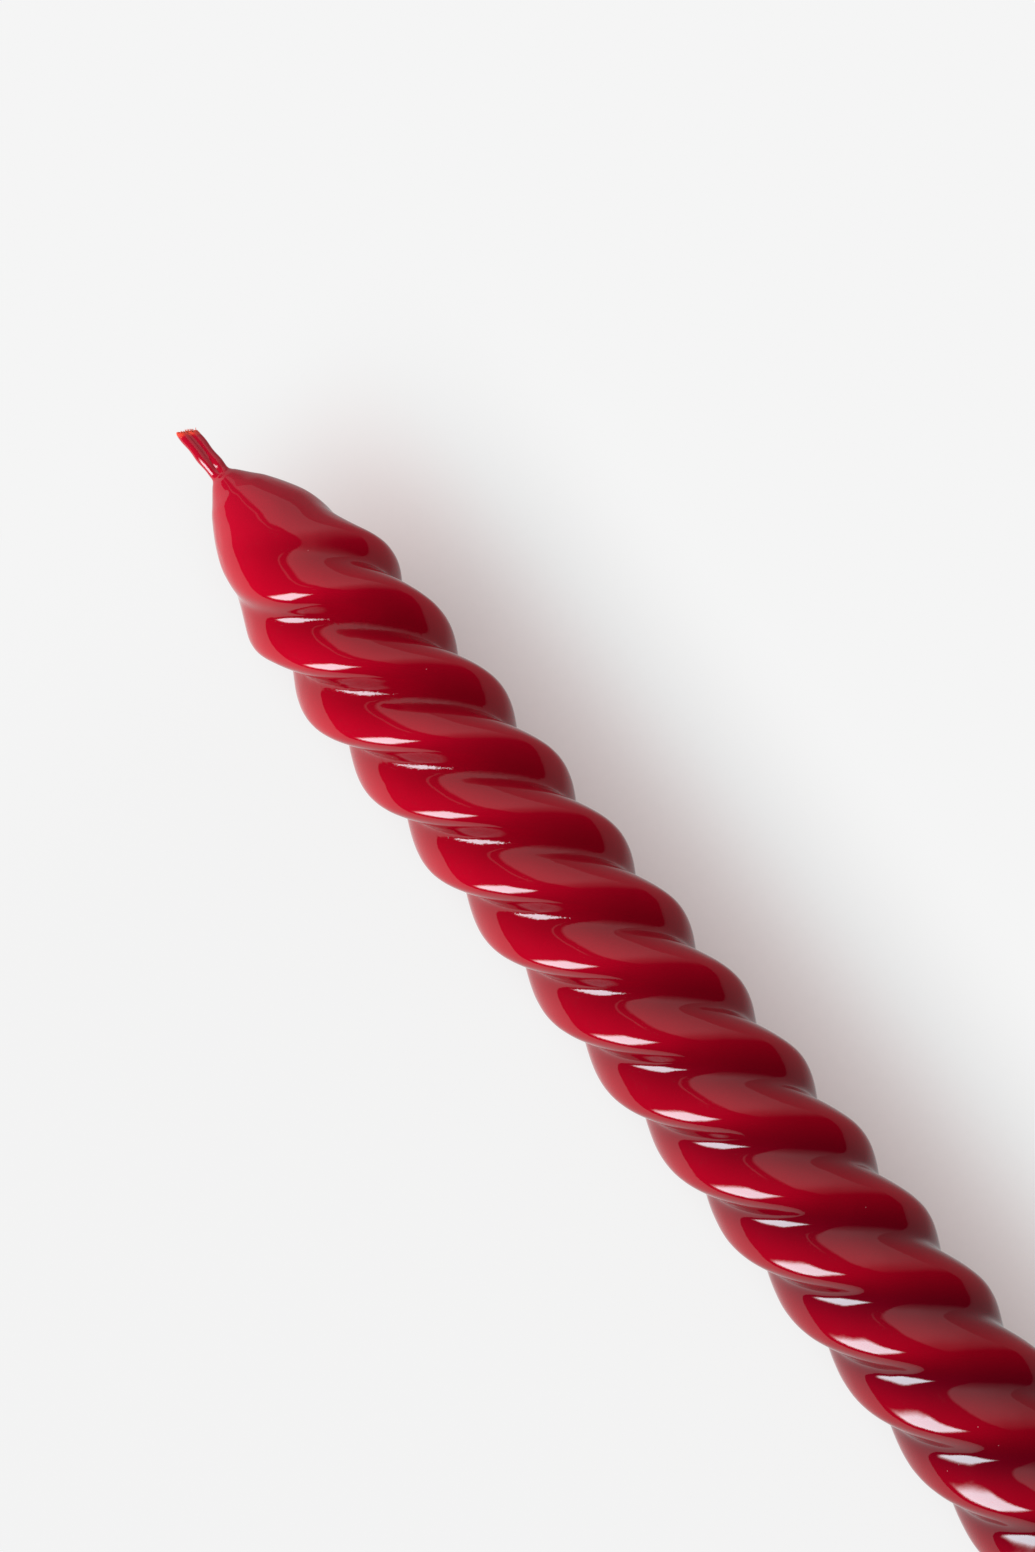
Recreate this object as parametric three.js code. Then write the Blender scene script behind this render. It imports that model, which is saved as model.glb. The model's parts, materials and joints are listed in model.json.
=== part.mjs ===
// A twisted taper candle with a high-gloss red coat, lying on its side on a table.
// It comes apart into three pieces: a flat braided wick that runs the whole length, a pale wax core
// with four lobes twisted left-handed around the wick, and the red dip coat that follows the lobes,
// closes over the cone at the tip and runs on up the short free end of the wick.
// Each piece is drawn upright, with its foot at z = 0 and the wick end up. The group then lays the
// candle down: the wick points along -X, the foot face looks along +X and the crests touch z = 0.
import * as THREE from "three";

// Driving dimensions in millimetres and degrees. A depth is measured down from the wick's root,
// which is where the free wick meets the cone.
const OVERALL_LENGTH = 290; // foot face to the far end of the wick
const WICK_STUB = 6.5; // free wick above its root, on its longer side
const FOOT_RADIUS = 11; // plain round foot, for a 22 mm candle holder
const FOOT_LENGTH = 18; // how much of the foot is plain
const FOOT_FADE = 18; // over this length above the plain foot the valleys run out
const FOOT_CHAMFER = 0.5;

const LOBES = 4;
const SHOULDER_RADIUS = 10.8; // over the crests where the cone ends
const SHOULDER_DEPTH = 30;
const SHOULDER_VALLEY = 2.9; // depth of the valleys between the lobes, where the cone ends
const FOOT_VALLEY = 0.7; // they are shallower towards the foot
const LOBE_LEAN = -0.55; // radians of the wave from crest to crest by which each valley lies off centre
const ROOT_LEAD = 45.7; // length of one full turn at the wick's root
const LEAD_GROWTH = 0.028; // the turns get longer towards the foot, mm per mm
const CREST_DEPTH = 20; // a crest faces straight up at this depth

const COAT_THICKNESS = 0.8; // red wax and lacquer together
const COAT_GAP = 0.3; // between the coat and the core
const TIP_SOLID = 3; // the coat is solid round the wick down to this depth
const WICK_HALF_WIDTH = 0.8; // flat braid
const WICK_HALF_THICKNESS = 0.35;
const WICK_GAP = 0.15; // between the wick and what it runs through
const SLEEVE_THICKNESS = 0.3; // coat on the free wick
const WICK_CUT_ANGLE = 28; // the wick's end is cut at a slant
const WICK_BARE_END = 0.25; // the cut fibres stand out of the coat by this much

// Fineness of the surfaces.
const POINTS_ON_LOBE = 6;
const INSIDE_RINGS = 12; // in a full turn
const CONE_FINENESS = 2; // rings are this many times closer on the cone

const SLEEVE = WICK_GAP + SLEEVE_THICKNESS;
const RED = 0xb00216;
const IVORY = 0xefe6cf;
const COTTON = 0xe9dfcb;

// The outline over the crests from the wick's root to the shoulder, as [depth, radius].
const CONE_OUTLINE = [
  [0, WICK_HALF_WIDTH + SLEEVE],
  [1.5, 2],
  [4.5, 4.55],
  [8.4, 6.75],
  [12.5, 8.3],
  [16.5, 9.85],
  [20, 10.5],
  [24, 10.75],
  [SHOULDER_DEPTH, SHOULDER_RADIUS],
];

const TURN = 2 * Math.PI;
const POINTS = LOBES * POINTS_ON_LOBE; // on every ring, and rings in a full turn outside
const ROOT = OVERALL_LENGTH - WICK_STUB; // height of the wick's root, and depth of the foot face
const PLAIN_FOOT = ROOT - FOOT_LENGTH; // depth at which the plain foot begins
const { lerp, smoothstep, degToRad } = THREE.MathUtils;
const cone = new THREE.CubicInterpolant(
  CONE_OUTLINE.map(([depth]) => depth),
  CONE_OUTLINE.map(([, radius]) => radius),
  1,
  [0],
);

// How far down the body a depth lies: 0 at the shoulder and 1 at the plain foot.
function downBody(depth) {
  return (depth - SHOULDER_DEPTH) / (PLAIN_FOOT - SHOULDER_DEPTH);
}

// The radius over the crests.
function crestRadius(depth) {
  if (depth < SHOULDER_DEPTH) return cone.evaluate(depth)[0];
  return lerp(SHOULDER_RADIUS, FOOT_RADIUS, Math.min(downBody(depth), 1));
}

// How deep the valleys are: they start at the wick's root and run out above the plain foot.
function valleyDepth(depth) {
  if (depth < SHOULDER_DEPTH) return SHOULDER_VALLEY * Math.sin(((Math.PI / 2) * depth) / SHOULDER_DEPTH);
  const runOut = smoothstep(depth, PLAIN_FOOT - FOOT_FADE, PLAIN_FOOT);
  return lerp(SHOULDER_VALLEY, FOOT_VALLEY, downBody(depth)) * (1 - runOut);
}

// The angle that the section has turned through at a depth. It grows downwards: a left-handed twist.
function twist(depth) {
  return (TURN / LEAD_GROWTH) * Math.log(1 + (LEAD_GROWTH * depth) / ROOT_LEAD);
}

// The depth at which the section has turned through an angle.
function depthOfTwist(angle) {
  return (ROOT_LEAD / LEAD_GROWTH) * (Math.exp((LEAD_GROWTH * angle) / TURN) - 1);
}

// A ring of the lobed section at a depth, turned with the twist. Its radius waves between crest and
// valley, steeper on one side of each lobe than on the other. inset moves it inwards, square to the
// outline. Rings run anticlockwise seen from above.
function lobedRing({ depth, angle }, inset) {
  const wave = valleyDepth(depth) / 2;
  return Array.from({ length: POINTS }, (_, i) => {
    const fromCrest = (TURN * i) / POINTS;
    const even = LOBES * fromCrest;
    const leaning = even + (LOBE_LEAN * (1 - Math.cos(even))) / 2;
    const radius = crestRadius(depth) - wave + wave * Math.cos(leaning);
    const slope = -wave * LOBES * Math.sin(leaning) * (1 + (LOBE_LEAN * Math.sin(even)) / 2);
    const share = inset / Math.hypot(radius, slope);
    const point = new THREE.Vector2(radius * (1 - share), slope * share);
    point.rotateAround(new THREE.Vector2(), fromCrest + angle - twist(CREST_DEPTH));
    return new THREE.Vector3(point.x, point.y, ROOT - depth);
  });
}

// A ring of the flat wick's outline at a height: wide along Y and slightly waisted across X, like two
// strands side by side. grow moves it out, slope tips it, as the cut at the wick's end does, and start
// is the angle of its first point.
function wickRing(height, { grow = 0, slope = 0, start = 0 } = {}) {
  const wide = WICK_HALF_WIDTH + grow;
  const thin = WICK_HALF_THICKNESS + grow;
  return Array.from({ length: POINTS }, (_, i) => {
    const angle = start + (TURN * i) / POINTS;
    const radius = (wide + thin) / 2 - ((wide - thin) / 2) * Math.cos(2 * angle);
    const y = radius * Math.sin(angle);
    return new THREE.Vector3(radius * Math.cos(angle), y, height - slope * y);
  });
}

// The places of the rings from the foot face up to a depth. Down the twist they are equal parts of a
// turn apart. With as many in a turn as a ring has points, the points line up along the candle and
// give it narrow flats to lie on, one of them straight down. The plain foot doesn't twist.
function ringPlaces(end, ringsInTurn) {
  const step = TURN / ringsInTurn;
  const offset = twist(CREST_DEPTH) + step / 2;
  const number = (depth) => (twist(depth) - offset) / step;
  const last = Math.floor(number(PLAIN_FOOT - FOOT_FADE / 4));
  const first = Math.ceil(number(SHOULDER_DEPTH));
  const angles = [];
  for (let i = last; i > first; i--) angles.push(offset + step * i);
  const fine = step / CONE_FINENESS;
  const closest = twist(end) + fine / 2;
  for (let angle = offset + step * first; angle > closest; angle -= fine) angles.push(angle);
  return [
    { depth: ROOT, angle: angles[0] },
    { depth: PLAIN_FOOT, angle: angles[0] },
    ...angles.map((angle) => ({ depth: depthOfTwist(angle), angle })),
    { depth: end, angle: twist(end) },
  ];
}

// The closed surface through rings, each joined to the next point by point, so that the faces follow
// the twist. A tube's last ring is joined to its first, and a rod's two end rings are capped.
function loft(rings, isTube) {
  const index = [];
  const join = (lower, upper, shift) => {
    for (let i = 0; i < POINTS; i++) {
      const [a, b] = [i, (i + 1) % POINTS].map((point) => lower * POINTS + point);
      const [c, d] = [i, i + 1].map((point) => upper * POINTS + ((point + shift) % POINTS));
      index.push(a, b, c, b, d, c);
    }
  };
  const top = rings.length - 1;
  for (let i = 0; i < top; i++) join(i, i + 1, 0);
  if (isTube) join(top, 0, nearestPoint(rings[0], rings[top][0]));
  for (let i = 1; i < POINTS - 1 && !isTube; i++) {
    index.push(0, i + 1, i);
    index.push(...[0, i, i + 1].map((point) => top * POINTS + point));
  }
  const geometry = new THREE.BufferGeometry().setFromPoints(rings.flat());
  geometry.setIndex(index);
  geometry.computeVertexNormals();
  return geometry;
}

function nearestPoint(ring, point) {
  const distances = ring.map((other) => other.distanceTo(point));
  return distances.indexOf(Math.min(...distances));
}

const cutSlope = Math.tan(degToRad(WICK_CUT_ANGLE));
const cutHeight = OVERALL_LENGTH - cutSlope * WICK_HALF_WIDTH; // of the wick's cut, on the axis

// The red skin: up its outside to the end of the sleeve on the wick, and down its inside.
function redCoat() {
  const [foot, ...places] = ringPlaces(CONE_OUTLINE[1][0], POINTS);
  const aboveChamfer = { ...foot, depth: ROOT - FOOT_CHAMFER };
  const outside = [aboveChamfer, ...places].map((place) => lobedRing(place, 0));
  const inside = ringPlaces(TIP_SOLID, INSIDE_RINGS).map((place) => lobedRing(place, COAT_THICKNESS));
  const start = twist(TIP_SOLID) - twist(CREST_DEPTH);
  const sleeveEnd = cutHeight - WICK_BARE_END;
  const sleeve = [
    wickRing(ROOT, { grow: SLEEVE, start }),
    wickRing(sleeveEnd, { grow: SLEEVE, start, slope: cutSlope }),
    wickRing(sleeveEnd, { grow: WICK_GAP, start, slope: cutSlope }),
    wickRing(ROOT - TIP_SOLID, { grow: WICK_GAP, start }),
  ];
  return loft([lobedRing(foot, FOOT_CHAMFER), ...outside, ...sleeve, ...inside.reverse()], true);
}

// The pale wax inside the coat, with the channel that the wick runs in.
function waxCore() {
  const end = TIP_SOLID + COAT_GAP;
  const outside = ringPlaces(end, INSIDE_RINGS).map((place) => lobedRing(place, COAT_THICKNESS + COAT_GAP));
  const start = twist(end) - twist(CREST_DEPTH);
  const channel = [ROOT - end, 0].map((height) => wickRing(height, { grow: WICK_GAP, start }));
  return loft([...outside, ...channel], true);
}

// The flat braid from the foot face to its slanting cut end.
function wick() {
  return loft([wickRing(0), wickRing(ROOT), wickRing(cutHeight, { slope: cutSlope })], false);
}

function piece(name, geometry, color, roughness) {
  const mesh = new THREE.Mesh(geometry, new THREE.MeshStandardMaterial({ color, roughness, metalness: 0 }));
  mesh.name = name;
  return mesh;
}

const candle = new THREE.Group();
candle.add(piece("red_coat", redCoat(), RED, 0.08));
candle.add(piece("wax_core", waxCore(), IVORY, 0.55));
candle.add(piece("wick", wick(), COTTON, 0.9));

// The candle is laid down with its underside level, so the axis leans by the crests' slight taper.
// The origin is under the middle of the box that it fills, at table height.
const taper = (FOOT_RADIUS - SHOULDER_RADIUS) * Math.cos(Math.PI / POINTS);
candle.rotation.y = -Math.PI / 2 - Math.atan(taper / (PLAIN_FOOT - SHOULDER_DEPTH));
candle.updateMatrixWorld(true);
const box = new THREE.Box3().setFromObject(candle, true);
const middle = box.getCenter(new THREE.Vector3());
candle.position.set(-middle.x, -middle.y, -box.min.z);

const lying = new THREE.Group();
lying.add(candle);

export default lying;
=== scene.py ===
# A twisted taper candle in glossy red, lying on a white table and seen from straight above.
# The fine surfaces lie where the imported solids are, and differ from them by a fraction of a millimetre.
import json
import math

import bpy
import numpy as np
from mathutils import Matrix, Vector

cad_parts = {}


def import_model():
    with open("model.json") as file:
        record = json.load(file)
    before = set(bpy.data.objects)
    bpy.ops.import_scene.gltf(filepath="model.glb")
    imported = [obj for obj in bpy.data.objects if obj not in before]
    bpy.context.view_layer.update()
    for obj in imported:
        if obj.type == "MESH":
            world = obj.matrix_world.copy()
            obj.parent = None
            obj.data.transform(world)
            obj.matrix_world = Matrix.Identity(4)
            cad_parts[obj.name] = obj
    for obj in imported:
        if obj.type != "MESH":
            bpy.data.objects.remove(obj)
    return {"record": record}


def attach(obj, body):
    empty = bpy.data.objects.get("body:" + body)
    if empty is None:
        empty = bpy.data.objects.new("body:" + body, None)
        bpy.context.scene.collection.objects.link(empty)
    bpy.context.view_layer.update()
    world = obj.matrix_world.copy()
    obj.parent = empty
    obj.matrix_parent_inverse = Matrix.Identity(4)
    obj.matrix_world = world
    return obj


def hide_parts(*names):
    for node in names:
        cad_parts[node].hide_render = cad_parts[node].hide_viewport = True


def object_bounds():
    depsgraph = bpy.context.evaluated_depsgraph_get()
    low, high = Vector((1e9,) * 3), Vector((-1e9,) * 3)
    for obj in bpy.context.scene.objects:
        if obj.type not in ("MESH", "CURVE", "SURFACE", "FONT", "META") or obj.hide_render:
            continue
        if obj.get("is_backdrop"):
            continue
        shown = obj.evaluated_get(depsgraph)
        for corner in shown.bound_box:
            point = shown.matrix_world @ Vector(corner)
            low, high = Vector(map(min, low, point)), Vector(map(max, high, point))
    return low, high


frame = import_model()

cad_box = [list(corner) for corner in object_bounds()]
MM = 0.001
TURN = 2 * math.pi

# Sizes of the candle in millimetres. A depth is measured down from the wick's root.
WICK_STUB = 6.5
FOOT_RADIUS = 11.0
FOOT_LENGTH = 18.0
FOOT_FADE = 18.0
FOOT_ROUND = 0.8  # rounding of the foot's edge
LOBES = 4
SHOULDER_RADIUS = 10.8
SHOULDER_DEPTH = 30.0
SHOULDER_VALLEY = 2.9
FOOT_VALLEY = 0.7
VALLEY_START = 7.5  # the valleys begin at this depth and reach their full depth at VALLEY_FULL
VALLEY_FULL = 27.0
LOBE_LEAN = -0.68  # radians of the wave by which each valley lies off the middle between two crests
LOBE_SKEW = 0.068  # share of a double wave that makes one side of each lobe fuller
LOBE_PHASE = 0.135  # radians of the wave at which it's highest, on the crest
ROOT_LEAD = 45.7  # length of one turn of the twist at the root
LEAD_GROWTH = 0.028  # and how much longer it grows for each turn
CREST_DEPTH = 20.0  # at this depth a crest faces straight up
COAT_THICKNESS = 0.8
TIP_SOLID = 4.0  # the coat is solid from the root down to this depth
WICK_HALF_WIDTH = 0.8
WICK_CUT_ANGLE = math.radians(28)
MOUNT_ABOVE_AXIS = 5.0  # the foot's mount point lies this far from the axis

OVERALL_LENGTH = (cad_box[1][0] - cad_box[0][0]) / MM
ROOT = OVERALL_LENGTH - WICK_STUB
PLAIN_FOOT = ROOT - FOOT_LENGTH
CUT_SLOPE = math.tan(WICK_CUT_ANGLE)
CUT_HEIGHT = OVERALL_LENGTH - CUT_SLOPE * WICK_HALF_WIDTH
TIP_X = cad_box[0][0]
FOOT_X = cad_box[1][0]

# The outline over the crests down to the shoulder: depths, and the radius at each.
CONE_DEPTHS = np.array([0, 0.8, 1.6, 3, 4.5, 8.4, 12.5, 16.5, 20, 24, SHOULDER_DEPTH])
CONE_RADII = np.array([1.15, 1.3, 1.95, 3.1, 4.36, 6.68, 8.2, 9.6, 10.5, 10.75, SHOULDER_RADIUS])

rng = np.random.default_rng(29)


def place_of_candle():
    """The matrix from the upright candle, foot at the origin, in millimetres, to the frame."""
    mount = next(m for m in frame["record"]["mounts"] if m["name"] == "foot_face")
    up = -Vector(mount["axis"]).normalized()
    across = Vector((0, 1, 0))
    top = across.cross(up).normalized()
    foot = Vector(mount["pos_m"]) - top * MOUNT_ABOVE_AXIS * MM
    turn = Matrix((top, across, up)).transposed().to_4x4()
    return Matrix.Translation(foot) @ turn @ Matrix.Scale(MM, 4)


TO_FRAME = place_of_candle()


# Shape of the candle

def smoothstep(low, high, x):
    t = np.clip((x - low) / (high - low), 0, 1)
    return t * t * (3 - 2 * t)


def through(points_x, points_y, x):
    """A smooth curve through points: each piece is cubic, and its slopes come from its neighbours."""
    inner = (points_y[2:] - points_y[:-2]) / (points_x[2:] - points_x[:-2])
    steps = np.diff(points_y) / np.diff(points_x)
    first, last = 1.5 * steps[0] - inner[0] / 2, 1.5 * steps[-1] - inner[-1] / 2
    slopes = np.concatenate([[first], inner, [last]])
    i = np.clip(np.searchsorted(points_x, x) - 1, 0, len(points_x) - 2)
    width = points_x[i + 1] - points_x[i]
    t = (x - points_x[i]) / width
    start = (1 + 2 * t) * (1 - t) ** 2 * points_y[i] + t * (1 - t) ** 2 * width * slopes[i]
    end = t * t * (3 - 2 * t) * points_y[i + 1] + t * t * (t - 1) * width * slopes[i + 1]
    return start + end


def crest_radius(depth):
    share = np.clip((depth - SHOULDER_DEPTH) / (PLAIN_FOOT - SHOULDER_DEPTH), 0, 1)
    body = SHOULDER_RADIUS + (FOOT_RADIUS - SHOULDER_RADIUS) * share
    cone = through(CONE_DEPTHS, CONE_RADII, np.clip(depth, 0, SHOULDER_DEPTH))
    return np.where(depth < SHOULDER_DEPTH, cone, body)


def valley_depth(depth):
    share = np.clip((depth - SHOULDER_DEPTH) / (PLAIN_FOOT - SHOULDER_DEPTH), 0, 1)
    body = SHOULDER_VALLEY + (FOOT_VALLEY - SHOULDER_VALLEY) * share
    start = smoothstep(VALLEY_START, VALLEY_FULL, depth)
    run_out = smoothstep(PLAIN_FOOT - FOOT_FADE, PLAIN_FOOT, depth)
    return body * start * (1 - run_out)


def turned(depth):
    return TURN / LEAD_GROWTH * np.log(1 + LEAD_GROWTH * depth / ROOT_LEAD)


def twist(depth):
    """The angle that the section has turned through, from the crest that faces straight up."""
    return turned(np.clip(depth, 0, PLAIN_FOOT)) - turned(CREST_DEPTH)


def lobe_wave(from_crest):
    """The wave from crest to crest, at so many of its radians from a crest: its height and slope."""
    even = from_crest + LOBE_PHASE
    leaning = even + LOBE_LEAN * (1 - np.cos(even)) / 2
    height = np.cos(leaning) + LOBE_SKEW * np.sin(2 * leaning)
    slope = 2 * LOBE_SKEW * np.cos(2 * leaning) - np.sin(leaning)
    return height, slope * (1 + LOBE_LEAN * np.sin(even) / 2)


def lobed_rings(depths, points, inset=0.0):
    """Rings of the lobed section as an array of ring, point and X, Y, Z, in the upright candle."""
    depth = depths[:, None]
    from_crest = TURN * np.arange(points)[None, :] / points
    height, slope = lobe_wave(LOBES * from_crest)
    wave = valley_depth(depth) / 2
    radius = crest_radius(depth) + wave * (height - lobe_wave(0)[0])
    slope = wave * LOBES * slope
    share = inset / np.hypot(radius, slope)
    out, along = radius * (1 - share), slope * share
    angle = from_crest + twist(depth)
    x = out * np.cos(angle) - along * np.sin(angle)
    y = out * np.sin(angle) + along * np.cos(angle)
    return np.stack([x, y, np.broadcast_to(ROOT - depth, x.shape)], axis=2)


# Mesh helpers

def tube_faces(rings, points, closed):
    """Faces between rings of points, each joined to the next, and the last to the first if closed."""
    joined = rings if closed else rings - 1
    faces = []
    for k in range(joined):
        a, b = k * points, (k + 1) % rings * points
        faces += [(a + i, a + (i + 1) % points, b + (i + 1) % points, b + i) for i in range(points)]
    return faces


def make_mesh(name, positions, faces, material, smooth=True):
    """An object from an array of points in the upright candle, laid in the frame, riding on the body."""
    flat = np.asarray(positions).reshape(-1, 3)
    laid = flat @ np.array(TO_FRAME.to_3x3()).T + np.array(TO_FRAME.translation)
    mesh = bpy.data.meshes.new(name)
    mesh.from_pydata(laid.tolist(), [], faces)
    mesh.validate()
    if smooth:
        mesh.shade_smooth()
    mesh.materials.append(material)
    piece = bpy.data.objects.new(name, mesh)
    bpy.context.collection.objects.link(piece)
    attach(piece, "root")
    return piece


# The red coat

UNEVEN_WAVES = 40  # the skin's unevenness is a sum of so many waves
UNEVEN_SLOPE = 0.014  # and its slope is about this
UNEVEN_AROUND = (3, 30)  # fewest waves around the candle, and more than the most
UNEVEN_ALONG = (0.3, 2.2)  # radians of a wave for each millimetre along it
UNEVEN_FROM = (1.5, 6.0)  # the unevenness sets in between these depths
UNEVEN_TO = (12.0, 2.0)  # and ends between these distances from the foot's face
TIP_ASIDE = 0.12  # how far the cone's top lies towards +Y, and half as far at the root
TIP_WHOLE = 9.0  # the depth from which it's the whole way
TIP_BACK = (11.0, 24.0)  # the depths between which it comes back to the middle
NECK_ASIDE = 0.4  # how far the cone lies towards +Y at NECK_DEPTH, within NECK_REACH of it
NECK_DEPTH = 24.0
NECK_REACH = 3.5
WICK_DROOP = 0.030  # millimetres for each square millimetre of length
STRAND_LEAN = 0.22  # slope at which the strand on the +Y side leans down instead
LEAN_START = 0.2  # millimetres up from the root in which that slope builds up
STRAND_SIDES = (-0.15, 0.35)  # the Y between which one strand turns into the other
STRAND_OFFSET = 0.55  # the coated wick is two soft strands side by side
STRAND_RADIUS = 0.70
GROOVE_SOFTNESS = 0.18
GATHER_DEPTH = 1.6  # down to here the cone gathers into the outline of the wick
SKIN_POINTS = 144  # on every ring
ROUND_RINGS = 5
ABOVE_ROUND = 0.5  # distance from the foot's rounding to the next ring, and then from ring to ring
FOOT_STEP = 2.5
BODY_STEP = 0.56
CONE_STEP = 0.3
INSIDE_STEP = 3.0
INSIDE_END = 0.05  # distance of the inside's last ring from the foot's face

# The sleeve is the coat on the free wick. Shares of its length are counted from the root.
SLEEVE_RINGS = 48
SLEEVE_FROM = 0.03  # share of the length at which its first ring lies
TORN_FROM = 0.85  # share from which on its edge is torn
LIP_FROM = 0.975  # share from which on it curls inwards
LIP_CURL = 0.12  # and how far, as a share of the radius
SWELL = 0.05  # share of the radius by which it's wider here and narrower there
SWELL_ALONG = 1.9  # radians of that wave for each millimetre
RIM = (0.6, 0.12)  # a ring just inside the end: share of the radius, and millimetres down
BORE = (0.5, 0.6)  # and the ring where the straight inside begins
TEARS = ((0.10, 5, 0.6), (0.07, 11, 2.0), (0.05, 23, 0.0))  # each a height, a number and a phase
NOTCH_DEPTH = 0.35
NOTCH_ANGLE = 0.15
NOTCH_WIDTH = 0.25


def stub_radius(angle):
    """The outline of the coated wick: two round strands with a soft groove between them."""
    sideways = np.sqrt(np.sin(angle) ** 2 + GROOVE_SOFTNESS ** 2)
    return STRAND_OFFSET * sideways + np.sqrt(STRAND_RADIUS ** 2 - (STRAND_OFFSET * np.cos(angle)) ** 2)


def ragged(angle):
    """How far the torn end of the sleeve stands out or back, in millimetres, around the wick."""
    tears = sum(size * np.sin(number * angle + phase) for size, number, phase in TEARS)
    notch = -NOTCH_DEPTH * np.exp(-((angle % TURN - NOTCH_ANGLE) / NOTCH_WIDTH) ** 2)
    return tears + notch


def stub_rings():
    """The sleeve: from the cone's top up the wick, over its torn end and down inside."""
    angle = TURN * np.arange(SKIN_POINTS) / SKIN_POINTS + twist(0.0)
    radius = stub_radius(angle)
    y = radius * np.sin(angle)
    end = CUT_HEIGHT - CUT_SLOPE * y
    rings = []
    for up in np.linspace(SLEEVE_FROM, 1, SLEEVE_RINGS):
        torn = smoothstep(TORN_FROM, 1.0, up)
        height = ROOT + (end - ROOT) * up + ragged(angle) * torn
        swell = 1 + SWELL * np.sin(SWELL_ALONG * (height - ROOT) + 0.5) * np.sin(angle + 0.7)
        lip = 1 - LIP_CURL * smoothstep(LIP_FROM, 1.0, up)
        rings.append(np.stack([radius * swell * lip * np.cos(angle), y * swell * lip, height], axis=1))
    root, bottom = np.full_like(y, ROOT), np.full_like(y, ROOT - TIP_SOLID)
    (rim, below_rim), (bore, below_bore) = RIM, BORE
    for share, height in [(rim, end - below_rim), (bore, end - below_bore), (bore, root), (bore, bottom)]:
        rings.append(np.stack([radius * share * np.cos(angle), y * share, height], axis=1))
    return np.array(rings)


def blend_to_stub(rings, depths):
    """The top of the cone gathers into the outline of the coated wick."""
    angle = np.arctan2(rings[..., 1], rings[..., 0])
    wanted = stub_radius(angle)
    now = np.hypot(rings[..., 0], rings[..., 1])
    share = 1 - smoothstep(0.0, GATHER_DEPTH, depths)[:, None]
    factor = 1 + share * (wanted / now - 1)
    rings[..., 0] *= factor
    rings[..., 1] *= factor
    return rings


def tip_bend(positions):
    """The tip isn't quite straight: the cone lies a little towards +Y and the wick droops."""
    depth = ROOT - positions[..., 2]
    aside = TIP_ASIDE * (0.5 + 0.5 * smoothstep(0, TIP_WHOLE, depth)) * (1 - smoothstep(*TIP_BACK, depth))
    aside = aside + NECK_ASIDE * np.exp(-((depth - NECK_DEPTH) / NECK_REACH) ** 2)
    up = np.clip(-depth, 0, None)
    leaning = smoothstep(*STRAND_SIDES, positions[..., 1])
    even_droop = WICK_DROOP * up ** 2
    droop = even_droop + leaning * (STRAND_LEAN * up ** 2 / (up + LEAN_START) - even_droop)
    bent = positions.copy()
    bent[..., 0] -= droop
    bent[..., 1] += aside
    return bent


def uneven(rings, depths, points):
    """Pushes the skin in and out by hundredths of a millimetre, as hand dipping leaves it."""
    angle = TURN * np.arange(points)[None, :] / points + twist(depths)[:, None]
    push = np.zeros((len(depths), points))
    for _ in range(UNEVEN_WAVES):
        around = rng.integers(*UNEVEN_AROUND) * rng.choice([-1, 1])
        along = rng.uniform(*UNEVEN_ALONG)
        size = UNEVEN_SLOPE * math.sqrt(2 / UNEVEN_WAVES) / math.hypot(around / SHOULDER_RADIUS, along)
        push += size * np.sin(around * angle + along * depths[:, None] + rng.uniform(0, TURN))
    ending = smoothstep(ROOT - UNEVEN_TO[0], ROOT - UNEVEN_TO[1], depths)
    fade = smoothstep(*UNEVEN_FROM, depths) * (1 - ending)
    out = rings[..., :2] / np.hypot(rings[..., 0], rings[..., 1])[..., None]
    rings[..., :2] += out * (push * fade[:, None])[..., None]
    return rings


def hollow(depths, points):
    """How deep in a valley each point lies: 0 on a crest or on plain wax, 1 at the deepest."""
    height = lobe_wave(LOBES * TURN * np.arange(points)[None, :] / points)[0]
    share = valley_depth(depths[:, None]) / SHOULDER_VALLEY
    return np.clip((1 - height) / 2, 0, 1) * np.clip(share, 0, 1) ** 0.5


def red_skin(material):
    """The red coat, as one closed shell: outside, sleeve on the wick, and inside."""
    points = SKIN_POINTS
    rounding = np.linspace(0, 1, ROUND_RINGS)
    outside_depths = np.concatenate([
        np.arange(ROOT - FOOT_ROUND - ABOVE_ROUND, PLAIN_FOOT, -FOOT_STEP),
        np.arange(PLAIN_FOOT, SHOULDER_DEPTH, -BODY_STEP),
        np.arange(SHOULDER_DEPTH, 0.0, -CONE_STEP),
    ])
    foot = [
        lobed_rings(np.array([ROOT - FOOT_ROUND * (1 - math.cos(math.pi / 2 * t))]), points,
                    FOOT_ROUND * (1 - math.sin(math.pi / 2 * t)))
        for t in rounding
    ]
    outside = uneven(lobed_rings(outside_depths, points), outside_depths, points)
    outside = blend_to_stub(outside, outside_depths)
    stub = stub_rings()
    inside_depths = np.append(np.arange(TIP_SOLID, ROOT, INSIDE_STEP), ROOT - INSIDE_END)
    inside = lobed_rings(inside_depths, points, COAT_THICKNESS)
    rings = np.concatenate([tip_bend(np.concatenate([*foot, outside, stub])), inside])
    piece = make_mesh("red_skin", rings, tube_faces(len(rings), points, True), material)
    # How deep each point lies in a valley, which the material uses for painted shade and for crumbs.
    deep = np.zeros((len(rings), points))
    deep[len(foot):len(foot) + len(outside_depths)] = hollow(outside_depths, points)
    piece.data.attributes.new("hollow", "FLOAT", "POINT").data.foreach_set("value", deep.ravel())
    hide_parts("red_coat")
    return piece


# The core

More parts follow.
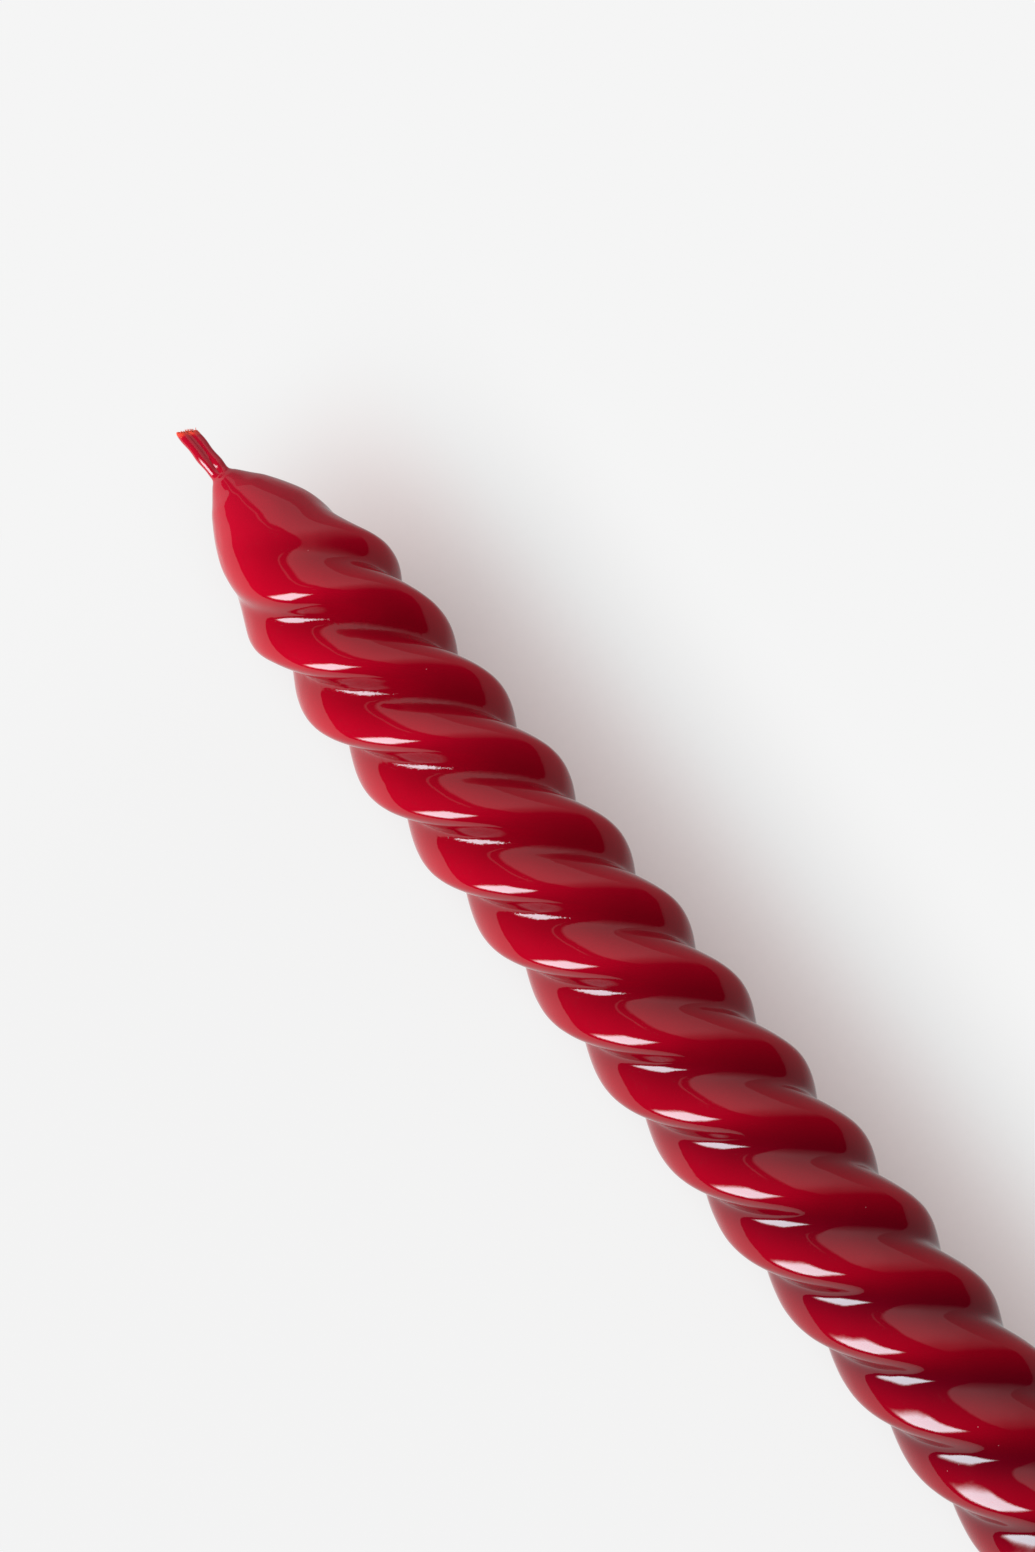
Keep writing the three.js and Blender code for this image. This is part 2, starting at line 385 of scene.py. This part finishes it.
CORE_GAP = 0.02  # between the core and the coat
CORE_TOP = TIP_SOLID + 0.3  # depth at which the core begins
CORE_STEP = 2.0
CHANNEL_RADIUS = 0.72  # of the wick's channel, across the flat braid
CHANNEL_WIDENING = 0.28  # and so much more along it
CHANNEL_HEIGHTS = (1.5, 60.0)  # of the rings inside it, and one more lies at the core's top
CHANNEL_DIP = 0.25  # how far the foot's face sinks in beside the wick
DIP_WIDTH = 1.1
FACE_RINGS = 25
FACE_HEIGHT = 0.05
FACE_EDGE = 0.93  # share of the face's width from which on its knife marks fade to the edge


def knife_marks(x, y):
    """The marks that a knife leaves across the foot's face, in millimetres."""
    broad = 0.035 * np.sin(2.6 * y + 0.9 * np.sin(0.8 * x))
    fine = 0.02 * np.sin(7.3 * y + x)
    return broad + fine


def wax_core(material):
    """The pale wax inside the coat: its outside, and a knife-cut face round the wick at the foot."""
    points = SKIN_POINTS
    depths = np.append(np.arange(CORE_TOP, ROOT - CORE_STEP / 2, CORE_STEP), ROOT)
    outside = lobed_rings(depths, points, COAT_THICKNESS + CORE_GAP)
    angle = TURN * np.arange(points) / points + twist(PLAIN_FOOT)
    channel = CHANNEL_RADIUS + CHANNEL_WIDENING * np.sin(angle) ** 2
    rings = [outside]
    for share in np.linspace(1, 0, FACE_RINGS + 1)[1:]:
        radius = channel + (FOOT_RADIUS - COAT_THICKNESS - CORE_GAP - channel) * share
        x, y = radius * np.cos(angle), radius * np.sin(angle)
        dip = CHANNEL_DIP * np.exp(-((radius - channel) / DIP_WIDTH) ** 2)
        height = FACE_HEIGHT + (knife_marks(x, y) + dip) * smoothstep(1.0, FACE_EDGE, share)
        rings.append(np.stack([x, y, height], axis=1)[None])
    for height in (*CHANNEL_HEIGHTS, ROOT - CORE_TOP):
        wall = [channel * np.cos(angle), channel * np.sin(angle), np.full(points, height)]
        rings.append(np.stack(wall, axis=1)[None])
    rings = np.concatenate(rings)
    piece = make_mesh("ivory_core", rings, tube_faces(len(rings), points, True), material)
    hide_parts("wax_core")
    return piece


# The wick

BRAID_PITCH = 3.4
BRAID_SPREAD = 0.56  # how far the strands swing to each side
BRAID_RISE = 0.19  # and how far they pass over and under each other
BRAID_OUT = 0.05  # how far they stand out of the foot
BRAID_SHORT = 0.15  # and how far they end below the cut
BRAID_STEP = 0.25
STRAND_POINTS = 10
PLAIT_RADIUS = 0.22
FIBRES = 150
FIBRE_ACROSS = 0.95  # half the width of the bundle of fibres
FIBRE_THROUGH = 0.42  # and half its thickness
FIBRE_ROOT = 0.45  # they start so far below the cut
FIBRE_LENGTHS = (0.35, 0.75)
FIBRE_LEAN = 0.16
FIBRE_CURL = 0.08
FIBRE_RADII = (0.05, 0.025)
FIBRE_RINGS = 5
FIBRE_POINTS = 5


def swept(path, radius, points):
    """Rings of a round tube along a path that runs mostly up."""
    ahead = np.gradient(path, axis=0)
    ahead /= np.linalg.norm(ahead, axis=1)[:, None]
    side = np.cross(ahead, [1.0, 0.0, 0.0])
    side /= np.linalg.norm(side, axis=1)[:, None]
    other = np.cross(ahead, side)
    around = TURN * np.arange(points) / points
    ring = side[:, None] * np.cos(around)[None, :, None] + other[:, None] * np.sin(around)[None, :, None]
    return path[:, None] + ring * np.reshape(radius, (-1, 1, 1))


def capped_faces(rings, points, first):
    """Faces of a closed rod of rings whose points are numbered from first."""
    faces = [tuple(first + i for i in face) for face in tube_faces(rings, points, False)]
    faces.append(tuple(first + i for i in reversed(range(points))))
    faces.append(tuple(first + (rings - 1) * points + i for i in range(points)))
    return faces


def strand_path(strand):
    """The path of one of the three plaited strands, from the foot to the cut."""
    heights = np.arange(-BRAID_OUT, CUT_HEIGHT - BRAID_SHORT, BRAID_STEP)
    phase = TURN * (heights / BRAID_PITCH + strand / 3)
    y = BRAID_SPREAD * np.sin(phase)
    path = np.stack([BRAID_RISE * np.sin(2 * phase), y, heights], axis=1)
    path[-1, 2] -= CUT_SLOPE * y[-1]
    return path


def fibre_path():
    """The path of a loose fibre at the cut."""
    y = rng.uniform(-FIBRE_ACROSS, FIBRE_ACROSS)
    x = rng.uniform(-1, 1) * FIBRE_THROUGH * math.sqrt(1 - y * y)
    length = rng.uniform(*FIBRE_LENGTHS)
    lean = rng.normal(0, FIBRE_LEAN, 2)
    curl = rng.normal(0, FIBRE_CURL, 2)
    base = CUT_HEIGHT - CUT_SLOPE * y - FIBRE_ROOT
    t = np.linspace(0, 1, FIBRE_RINGS)
    return np.stack([
        x + lean[0] * t + curl[0] * t * t,
        y + lean[1] * t + curl[1] * t * t,
        base + length * t,
    ], axis=1)


def braided_wick(material):
    """Three plaited strands from the foot to the cut, and loose fibres at the cut."""
    positions, faces, count = [], [], 0

    def add_rod(path, radius, points):
        nonlocal count
        rings = swept(path, radius, points)
        positions.append(rings.reshape(-1, 3))
        faces.extend(capped_faces(len(rings), points, count))
        count += rings.shape[0] * points

    for strand in range(3):
        path = strand_path(strand)
        add_rod(path, np.full(len(path), PLAIT_RADIUS), STRAND_POINTS)
    for _ in range(FIBRES):
        add_rod(fibre_path(), np.linspace(*FIBRE_RADII, FIBRE_RINGS), FIBRE_POINTS)
    piece = make_mesh("braided_wick", tip_bend(np.concatenate(positions)), faces, material)
    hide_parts("wick")
    return piece


# Node helpers

class Graph:
    """Makes shader nodes one call at a time and links what is passed in."""

    def __init__(self, tree):
        self.nodes = tree.nodes
        self.links = tree.links

    def node(self, kind, inputs=None, **settings):
        made = self.nodes.new(kind)
        for key, value in settings.items():
            setattr(made, key, value)
        for key, value in (inputs or {}).items():
            self.put(made.inputs[key], value)
        return made

    def put(self, socket, value):
        if isinstance(value, bpy.types.NodeSocket):
            self.links.new(value, socket)
        else:
            socket.default_value = value

    def math(self, operation, a, b=0.0, c=0.0):
        return self.node("ShaderNodeMath", {0: a, 1: b, 2: c}, operation=operation).outputs[0]

    def dot(self, vector, fixed):
        ends = {0: vector, 1: tuple(fixed)}
        return self.node("ShaderNodeVectorMath", ends, operation="DOT_PRODUCT").outputs["Value"]

    def step(self, value, low, high, start=0.0, end=1.0):
        """A smooth step of value between low and high, from start to end."""
        ends = {"Value": value, "From Min": low, "From Max": high, "To Min": start, "To Max": end}
        return self.node("ShaderNodeMapRange", ends, interpolation_type="SMOOTHSTEP").outputs["Result"]

    def mix(self, share, a, b):
        made = self.node("ShaderNodeMix", data_type="RGBA")
        self.put(made.inputs["Factor"], share)
        self.put(made.inputs[6], a)
        self.put(made.inputs[7], b)
        return made.outputs[2]

    def noise(self, vector, scale, detail=2.0, roughness=0.5):
        ends = {"Vector": vector, "Scale": scale, "Detail": detail, "Roughness": roughness}
        return self.node("ShaderNodeTexNoise", ends).outputs["Fac"]

    def specks(self, vector, scale):
        """The distance to the nearest of many scattered points, in their own spacing."""
        return self.node("ShaderNodeTexVoronoi", {"Vector": vector, "Scale": scale}).outputs["Distance"]

    def bump(self, shader, height, distance):
        """Raises the shader's surface by so many metres where height is 1."""
        made = self.node("ShaderNodeBump", {"Height": height, "Strength": 1.0, "Distance": distance})
        self.put(shader.inputs["Normal"], made.outputs["Normal"])


def new_material(name):
    material = bpy.data.materials.new(name)
    material.use_nodes = True
    graph = Graph(material.node_tree)
    shader = material.node_tree.nodes["Principled BSDF"]
    place = graph.node("ShaderNodeTexCoord").outputs["Object"]
    return material, graph, shader, place


# Materials

# A noise is given by its scale and detail, and edges are the values between which it steps.
RED = (0.29, 0.0006, 0.010, 1)
WORN_RED = (0.27, 0.0005, 0.009, 1)
WEAR = (90, 3)
WEAR_EDGES = (0.35, 0.65)
TIP_RED = (0.28, 0.002, 0.013, 1)  # a pinker red on the cone, near the wick
TIP_ENDS = (0.006, 0.026)  # metres from the cut
VALLEY_PAINTED_SHADE = (0.183, 0.0003, 0.006, 1)  # painted shade: a darker red in the valleys, for the shade that falls in them
LOW_VALLEY_PAINTED_SHADE = (0.085, 0.0003, 0.006, 1)  # and darker still towards the foot, painted shade for the light that falls off there
SHADE_DEEPENING = (-0.085, 0.015)  # the painted shade deepens from the first X to the second
TORN_RED = (0.50, 0.03, 0.012, 1)  # at the torn end of the sleeve
TORN_ENDS = (0.0006, 0.0014)  # metres from the cut
TORN_FUZZ = (2500, 2)
TORN_FUZZ_DEPTH = 0.0010
TORN_ROUGHNESS = 0.45
DUST = (0.75, 0.35, 0.36, 1)
DUST_SCALE = 260.0  # grains in a metre
DUST_EDGES = (0.010, 0.020)
DUST_STRENGTH = 0.7
GLOSS = (0.025, 0.055)  # roughness where it's clean and where it's smeared
SMEARS = (400, 4)
SMEAR_EDGES = (0.4, 0.75)
WAX_IOR = 1.5
BUMP = 0.000012  # metres, which is 1 in the heights of pits and crumbs
RIPPLES = (500, 2)
PIT_SCALE = 420.0  # pits in a metre
PIT_WIDTH = 0.035  # as a share of their spacing
PIT_DEPTH = 0.6
CRUMBS = (1100, 3, 0.6)  # crumbly wax at the bottoms of the valleys
CRUMB_EDGES = (0.42, 0.62)
CRUMB_DEEP = (0.86, 0.98)  # how deep in a valley it begins and is all there
CRUMB_HEIGHT = 1.3


def from_cut(graph, place):
    """How far a place is from the slanting cut at the wick's end, in metres."""
    cut = TIP_X + CUT_SLOPE * WICK_HALF_WIDTH * MM
    return graph.math("SUBTRACT", graph.dot(place, (1, -CUT_SLOPE, 0)), cut)


def red_lacquer():
    material, graph, shader, place = new_material("red_lacquer")
    cut = from_cut(graph, place)
    colour = graph.mix(graph.step(graph.noise(place, *WEAR), *WEAR_EDGES), WORN_RED, RED)
    colour = graph.mix(graph.step(cut, *TIP_ENDS, 1.0, 0.0), colour, TIP_RED)
    # Painted shade: the red darkens with how deep a point lies in a valley, and more towards the foot.
    deep = graph.node("ShaderNodeAttribute", attribute_name="hollow").outputs["Fac"]
    along = graph.node("ShaderNodeSeparateXYZ", {"Vector": place}).outputs["X"]
    valley = graph.mix(graph.step(along, *SHADE_DEEPENING), VALLEY_PAINTED_SHADE, LOW_VALLEY_PAINTED_SHADE)
    colour = graph.mix(deep, colour, valley)
    fuzzy_cut = graph.math("MULTIPLY_ADD", graph.noise(place, *TORN_FUZZ), TORN_FUZZ_DEPTH, cut)
    torn = graph.step(fuzzy_cut, *TORN_ENDS, 1.0, 0.0)
    grains = graph.step(graph.specks(place, DUST_SCALE), *DUST_EDGES, DUST_STRENGTH, 0.0)
    colour = graph.mix(grains, colour, DUST)
    graph.put(shader.inputs["Base Color"], graph.mix(torn, colour, TORN_RED))
    smear = graph.step(graph.noise(place, *SMEARS), *SMEAR_EDGES, *GLOSS)
    graph.put(shader.inputs["Roughness"], graph.math("MULTIPLY_ADD", torn, TORN_ROUGHNESS, smear))
    shader.inputs["IOR"].default_value = WAX_IOR
    pits = graph.step(graph.specks(place, PIT_SCALE), 0.0, PIT_WIDTH, -1.0, 0.0)
    height = graph.math("MULTIPLY_ADD", pits, PIT_DEPTH, graph.noise(place, *RIPPLES))
    crumbs = graph.step(graph.noise(place, *CRUMBS), *CRUMB_EDGES)
    crumbly = graph.step(deep, *CRUMB_DEEP, 0.0, CRUMB_HEIGHT)
    graph.bump(shader, graph.math("MULTIPLY_ADD", crumbs, crumbly, height), BUMP)
    return material


IVORY = ((0.78, 0.70, 0.55, 1), (0.86, 0.80, 0.67, 1))
IVORY_CLOUDS = (160, 4)
IVORY_SMEARS = (900, 3)
IVORY_SMEAR_EDGES = (0.3, 0.7)
IVORY_ROUGHNESS = (0.38, 0.55)
IVORY_IOR = 1.44
IVORY_GLOW = 0.25
IVORY_GLOW_DEPTHS = (0.003, 0.002, 0.001)
IVORY_GRAIN = (2500, 3)
IVORY_GRAIN_HEIGHT = 0.4
IVORY_LUMPS = (350, 2)
IVORY_BUMP = 0.00006  # metres


def ivory_wax():
    material, graph, shader, place = new_material("ivory_wax")
    graph.put(shader.inputs["Base Color"], graph.mix(graph.noise(place, *IVORY_CLOUDS), *IVORY))
    smears = graph.noise(place, *IVORY_SMEARS)
    graph.put(shader.inputs["Roughness"], graph.step(smears, *IVORY_SMEAR_EDGES, *IVORY_ROUGHNESS))
    shader.inputs["IOR"].default_value = IVORY_IOR
    shader.inputs["Subsurface Weight"].default_value = IVORY_GLOW
    shader.inputs["Subsurface Radius"].default_value = IVORY_GLOW_DEPTHS
    shader.inputs["Subsurface Scale"].default_value = 1.0
    grain, lumps = graph.noise(place, *IVORY_GRAIN), graph.noise(place, *IVORY_LUMPS)
    graph.bump(shader, graph.math("MULTIPLY_ADD", grain, IVORY_GRAIN_HEIGHT, lumps), IVORY_BUMP)
    return material


COTTON = ((0.66, 0.58, 0.45, 1), (0.86, 0.80, 0.68, 1))
DYED_COTTON = ((0.50, 0.02, 0.012, 1), (0.85, 0.13, 0.05, 1))
SOAKED_ENDS = (0.004, 0.007)  # metres from the cut, over which the dye in the cotton ends
COTTON_FIBRES = (6000, 3)
COTTON_ROUGHNESS = 0.85
COTTON_SHEEN = 0.2
COTTON_BUMP = 0.00005  # metres


def cotton_braid():
    material, graph, shader, place = new_material("cotton_braid")
    fibres = graph.noise(place, *COTTON_FIBRES)
    soaked = graph.step(from_cut(graph, place), *SOAKED_ENDS, 1.0, 0.0)
    colour = graph.mix(soaked, graph.mix(fibres, *COTTON), graph.mix(fibres, *DYED_COTTON))
    graph.put(shader.inputs["Base Color"], colour)
    shader.inputs["Roughness"].default_value = COTTON_ROUGHNESS
    shader.inputs["Sheen Weight"].default_value = COTTON_SHEEN
    graph.bump(shader, fibres, COTTON_BUMP)
    return material


# The table's material. It looks at X along the candle and at Y across it, from the lit side to the
# shadow. A pair is the first and the second X or Y between which something grows or fades.

BACKGROUND = 0.913  # linear: the photograph's background
BACKGROUND_WHITE = (BACKGROUND, BACKGROUND, BACKGROUND, 1)
TABLE_WHITES = ((0.92, 0.92, 0.92, 1), (0.98, 0.98, 0.98, 1))
TABLE_SPECKLE = (700, 3)
WARM_SHADE = (0.913, 0.79, 0.78, 1)  # where the candle's red falls into its shadow
WARM_GROWS = (-0.004, 0.004)
WARM_FADES = (0.012, 0.028)
WARM_ENDS = 0.03  # it fades over this length at the wick and at the foot
LIT_LIFT = 0.95  # share of the table that stays bright beside the candle too, on its lit side
LIT_FADES = (-0.014, 0.012)
SHADED_LIFT = 0.33  # and in its shadow
SHADE_ENDS = (0.008, 0.042)
PAST_TIP = (-0.1505, -0.1025)  # from the second X to the first it grows all bright, past the wick
PAST_FOOT = (0.120, 0.165)  # and from the first X to the second, past the foot
LIT_FLOOR = 0.88  # what the gloss mirrors of the table, on the lit side
CLOSE_FLOOR = 0.45  # close to the candle, which the gloss mirrors along its outline
SHADED_FLOOR = 0.25  # and in the shadow
LIT_FLOOR_FADES = (-0.012, 0.008)
CLOSE_FLOOR_FADES = (0.013, 0.026)
FLOOR_FADES = (-0.15, 0.45)  # and less of it towards the foot
FOOT_FLOOR = 0.55  # down to this share


def table_tint(graph, along, across):
    """The background's white, and warmer close to the candle where its red falls into the shadow."""
    warm = graph.step(across, *WARM_GROWS)
    warm = graph.math("MULTIPLY", warm, graph.step(across, *WARM_FADES, 1.0, 0.0))
    warm = graph.math("MULTIPLY", warm, graph.step(along, TIP_X, TIP_X + WARM_ENDS))
    warm = graph.math("MULTIPLY", warm, graph.step(along, FOOT_X - WARM_ENDS, FOOT_X, 1.0, 0.0))
    return graph.mix(warm, BACKGROUND_WHITE, WARM_SHADE)


def table_lift(graph, along, across):
    """The share of the table's look that is plain white, which leaves the rest to light and shadow."""
    beside = graph.step(across, *LIT_FADES, LIT_LIFT, 0.0)
    beyond = graph.step(across, *SHADE_ENDS, SHADED_LIFT, 1.0)
    dimmed = graph.math("SUBTRACT", 1.0, graph.math("MAXIMUM", beside, beyond))
    dimmed = graph.math("MULTIPLY", dimmed, graph.step(along, *PAST_TIP))
    dimmed = graph.math("MULTIPLY", dimmed, graph.step(along, *PAST_FOOT, 1.0, 0.0))
    return graph.math("SUBTRACT", 1.0, dimmed)


def table_in_gloss(graph, along, across):
    """How bright the glossy wax mirrors the table."""
    level = graph.step(across, *LIT_FLOOR_FADES, LIT_FLOOR, CLOSE_FLOOR)
    shadow = graph.step(across, *CLOSE_FLOOR_FADES, 1.0, SHADED_FLOOR / CLOSE_FLOOR)
    level = graph.math("MULTIPLY", level, shadow)
    return graph.math("MULTIPLY", level, graph.step(along, *FLOOR_FADES, 1.0, FOOT_FLOOR))


def table_white():
    material, graph, shader, place = new_material("table_white")
    white = graph.mix(graph.noise(place, *TABLE_SPECKLE), *TABLE_WHITES)
    graph.put(shader.inputs["Base Color"], white)
    shader.inputs["Roughness"].default_value = 1.0
    shader.inputs["Specular IOR Level"].default_value = 0.0
    path = graph.node("ShaderNodeLightPath").outputs
    sides = graph.node("ShaderNodeSeparateXYZ", {"Vector": place})
    along, across = sides.outputs["X"], sides.outputs["Y"]
    # For camera rays part of the table glows white, and warmer near the candle: a painted bounce of its
    # red into the shadow.
    bright = graph.node("ShaderNodeEmission", {"Color": table_tint(graph, along, across)})
    lift = graph.math("MULTIPLY", path["Is Camera Ray"], table_lift(graph, along, across))
    lifted = graph.node("ShaderNodeMixShader", {0: lift, 1: shader.outputs[0], 2: bright.outputs[0]})
    # For glossy rays the table glows instead of being lit: its light and shadow there are painted.
    mirrored = graph.node("ShaderNodeEmission", {"Strength": table_in_gloss(graph, along, across)})
    ends = {0: path["Is Glossy Ray"], 1: lifted.outputs[0], 2: mirrored.outputs[0]}
    both = graph.node("ShaderNodeMixShader", ends)
    graph.put(graph.nodes["Material Output"].inputs["Surface"], both.outputs[0])
    return material


# Stage

TABLE_SIZE = 8  # metres


def table():
    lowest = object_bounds()[0][2]
    bpy.ops.mesh.primitive_plane_add(size=TABLE_SIZE, location=(0, 0, lowest))
    plane = bpy.context.object
    plane.name = "table"
    plane.data.materials.append(table_white())
    plane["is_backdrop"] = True


# World and lamps. In the world a pair is the two values of a direction's X or Z, or of its distance
# from an edge, between which something grows or fades.

def towards(azimuth, elevation):
    """The direction at an azimuth from -Y towards +X, and an elevation, in degrees."""
    a, e = math.radians(azimuth), math.radians(elevation)
    return Vector((math.sin(a) * math.cos(e), -math.cos(a) * math.cos(e), math.sin(e)))


AHEAD_EDGE = (0.02, 0.06)  # a panel ends softly where it would pass behind
SOFTBOX = (towards(1, 36), 0.31, 0.41, 10, 0.09)  # as panel() takes it
SOFTBOX_SHEEN = 15.0
SOFTBOX_COLOUR = (0.80, 1.0, 1.09, 1)
SOFTBOX_AGAIN = 0.3  # share of it in a mirror image of a mirror image
AGAIN = (1.4, 1.6)  # between one glossy bounce and two
BOUNCE_SIDE = Vector((0.07, 0.97, -0.225))  # the bounce panel lies on this side, beyond its edge
BOUNCE_EDGE = (-0.02, 0.07)
BOUNCE = 0.30
BOUNCE_FADES = (-0.1, 0.45)
BOUNCE_NEAR = 0.47  # more of it towards the wick
NEAR_FADES = (-0.45, 0.0)
NEAR_LOW = 0.6  # and less of that low down
NEAR_GROWS = (0.0, 0.7)
BOUNCE_FRAME = 0.4  # the bright line of its frame
FRAME_OFF = 0.15  # how far that line lies outside the edge
FRAME_EDGE = (0.012, 0.03)
FRAME_FADES = (-0.62, -0.48)
ROOM_GLOSS = (0.03, 0.005)  # the dark room, towards the wick and towards the foot
ROOM_FADES = (-0.6, 0.1)
DOME = 0.44  # the even light from all round
KEY = 1.55
KEY_LOBE = ((-3, 38), 34, 14)  # azimuth and elevation, and the outer and inner angle around them
HIGH = 0.15
HIGH_LOBE = ((0, 70), 40, 15)
LAMPS_AIM = (-0.10, 0, 0.015)  # the lamps point here
SIDE_LAMP = ((-0.50, -0.80, 0.35), 0.24, 1.50, 0.14)  # direction, distance, brightness and width
HIGH_LAMP = ((-0.40, 0.10, 0.90), 0.28, 0.30, 0.16)
FILL_LAMP = ((-0.35, 0.85, 0.30), 0.22, 0.26, 0.14)


def panel(graph, way, centre, half_width, half_height, roll, softness):
    """1 where a direction meets a flat rectangle around centre, sized in tangents of half angles."""
    right = Vector((0, 0, 1)).cross(centre).normalized()
    up = centre.cross(right)
    turn = Matrix.Rotation(math.radians(roll), 3, centre)
    right, up = turn @ right, turn @ up
    ahead = graph.dot(way, centre)
    inside = graph.step(ahead, *AHEAD_EDGE)
    for axis, half in ((right, half_width), (up, half_height)):
        offset = graph.math("ABSOLUTE", graph.math("DIVIDE", graph.dot(way, axis), ahead))
        within = graph.step(offset, half - softness, half + softness, 1.0, 0.0)
        inside = graph.math("MULTIPLY", inside, within)
    return inside


def lobe(graph, way, direction, outer, inner):
    """1 within the inner angle of a direction, and 0 beyond the outer one."""
    near = math.cos(math.radians(inner))
    far = math.cos(math.radians(outer))
    return graph.step(graph.dot(way, towards(*direction)), far, near)


def softbox_in_gloss(graph, way):
    bounces = graph.node("ShaderNodeLightPath").outputs["Glossy Depth"]
    sheen = graph.step(bounces, *AGAIN, SOFTBOX_SHEEN, SOFTBOX_SHEEN * SOFTBOX_AGAIN)
    return graph.math("MULTIPLY", panel(graph, way, *SOFTBOX), sheen)


def bounce_in_gloss(graph, way):
    sideways = graph.node("ShaderNodeSeparateXYZ", {"Vector": way})
    x, z = sideways.outputs["X"], sideways.outputs["Z"]
    beyond = graph.dot(way, BOUNCE_SIDE)
    near = graph.step(x, *NEAR_FADES, BOUNCE_NEAR, 0.0)
    near = graph.math("MULTIPLY", near, graph.step(z, *NEAR_GROWS, NEAR_LOW, 1.0))
    level = graph.math("ADD", graph.step(x, *BOUNCE_FADES, BOUNCE, 0.0), near)
    from_frame = graph.math("ABSOLUTE", graph.math("ADD", beyond, FRAME_OFF))
    strip = graph.step(from_frame, *FRAME_EDGE, BOUNCE_FRAME, 0.0)
    strip = graph.math("MULTIPLY", strip, graph.step(x, *FRAME_FADES, 1.0, 0.0))
    return graph.math("ADD", graph.math("MULTIPLY", graph.step(beyond, *BOUNCE_EDGE), level), strip)


def seen_by_gloss(graph, way):
    """What the glossy wax mirrors: a softbox, a bounce panel and a dark room."""
    x = graph.node("ShaderNodeSeparateXYZ", {"Vector": way}).outputs["X"]
    panels = graph.math("ADD", softbox_in_gloss(graph, way), bounce_in_gloss(graph, way))
    return graph.math("ADD", panels, graph.step(x, *ROOM_FADES, *ROOM_GLOSS))


def light_of_room(graph, way):
    """The light itself: a soft key from the -Y side, more from above, and an even room."""
    key = graph.math("MULTIPLY", lobe(graph, way, *KEY_LOBE), KEY)
    high = graph.math("MULTIPLY_ADD", lobe(graph, way, *HIGH_LOBE), HIGH, DOME)
    return graph.math("ADD", key, high)


def soft_lamp(name, way, distance, brightness, size, pieces):
    """A soft lamp near the wick, on the candle alone, so that the table stays even."""
    lit = bpy.data.collections.new(name)
    for piece in pieces:
        lit.objects.link(piece)
    data = bpy.data.lights.new(name, "AREA")
    data.shape = "DISK"
    data.size = size
    data.energy = brightness * (math.pi * distance) ** 2
    way = Vector(way).normalized()
    lamp = bpy.data.objects.new(name, data)
    lamp.location = Vector(LAMPS_AIM) + distance * way
    lamp.rotation_euler = way.to_track_quat("Z", "Y").to_euler()
    lamp.visible_glossy = False
    lamp.light_linking.receiver_collection = lit
    bpy.context.collection.objects.link(lamp)


def world():
    background = bpy.data.worlds.new("studio")
    background.use_nodes = True
    graph = Graph(background.node_tree)
    way = graph.node("ShaderNodeTexCoord").outputs["Generated"]
    path = graph.node("ShaderNodeLightPath").outputs
    level = graph.mix(path["Is Glossy Ray"], light_of_room(graph, way), seen_by_gloss(graph, way))
    level = graph.mix(path["Is Camera Ray"], level, BACKGROUND_WHITE)
    in_softbox = graph.math("MULTIPLY", path["Is Glossy Ray"], panel(graph, way, *SOFTBOX))
    colour = graph.mix(in_softbox, (1, 1, 1, 1), SOFTBOX_COLOUR)
    graph.put(graph.nodes["Background"].inputs["Color"], colour)
    graph.put(graph.nodes["Background"].inputs["Strength"], level)
    bpy.context.scene.world = background


# The camera looks straight down. The photograph's pixels give where and how far it is turned.

PIXELS_PER_MM = 8.0
PICTURE = (1035, 1552)
ROOT_PIXEL = (216.0, 469.2)
WICK_TO_FOOT = math.radians(51.04)  # the candle's axis in the picture, clockwise from right
LENS = 100.0
SENSOR = 36.0


def camera():
    data = bpy.data.cameras.new("camera")
    data.lens = LENS
    data.sensor_width = SENSOR
    distance = PICTURE[1] / PIXELS_PER_MM / SENSOR * LENS * MM
    right = PICTURE[0] / 2 - ROOT_PIXEL[0]
    down = PICTURE[1] / 2 - ROOT_PIXEL[1]
    c, s = math.cos(WICK_TO_FOOT), math.sin(WICK_TO_FOOT)
    along = (right * c + down * s) / PIXELS_PER_MM
    across = (right * s - down * c) / PIXELS_PER_MM
    centre = TO_FRAME @ Vector((0, across, ROOT - along))
    eye = bpy.data.objects.new("camera", data)
    eye.location = centre + Vector((0, 0, distance))
    eye.rotation_euler = (0, 0, WICK_TO_FOOT)
    bpy.context.collection.objects.link(eye)
    bpy.context.scene.camera = eye


camera()
world()
candle = [red_skin(red_lacquer()), wax_core(ivory_wax()), braided_wick(cotton_braid())]
soft_lamp("side_lamp", *SIDE_LAMP, candle)
soft_lamp("high_lamp", *HIGH_LAMP, candle)
soft_lamp("fill_lamp", *FILL_LAMP, candle)
table()

bpy.context.scene.view_settings.view_transform = "Standard"
